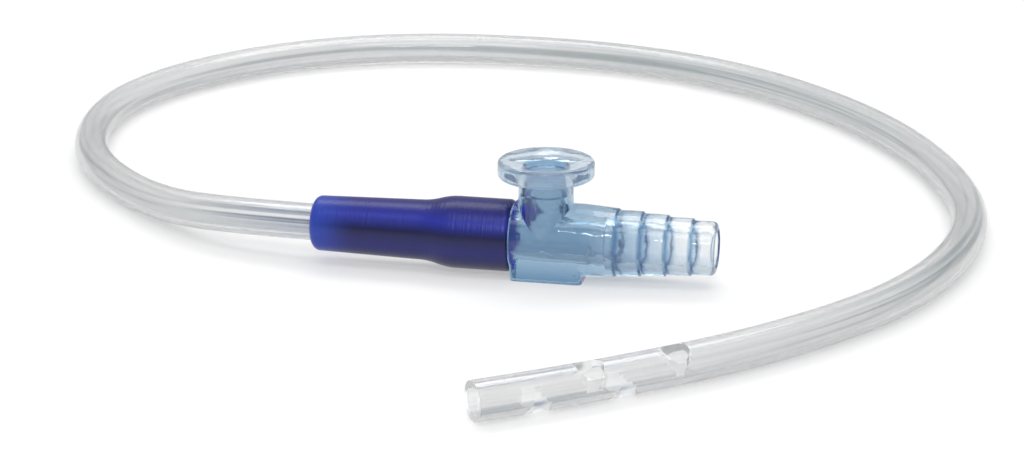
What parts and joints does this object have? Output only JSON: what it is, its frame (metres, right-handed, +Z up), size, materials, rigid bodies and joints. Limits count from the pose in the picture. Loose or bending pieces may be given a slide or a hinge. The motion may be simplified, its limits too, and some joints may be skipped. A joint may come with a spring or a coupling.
{
  "type": "mucus suction catheter",
  "caption": "Clear soft suction tube with side eyes at its open tip, a blue sleeve, and a clear moulded connector with a dished thumb port and a stepped hose outlet.",
  "frame": {"origin": "on the flat underside of the connector's foot, straight below the axis of the thumb port", "axes": "+Z up, out of the thumb port; +X along the connector's main axis, out of the stepped outlet; the tube leaves the sleeve towards -X"},
  "size_m": [0.1693, 0.1983, 0.0193],
  "materials": {
    "clear_pvc": "soft clear PVC",
    "blue_pvc": "satin",
    "clear_blue": "clear moulding"
  },
  "bodies": {
    "root": {"catheter_tube": "clear_pvc", "connector_sleeve": "blue_pvc", "suction_connector": "clear_blue"}
  },
  "joints": []
}
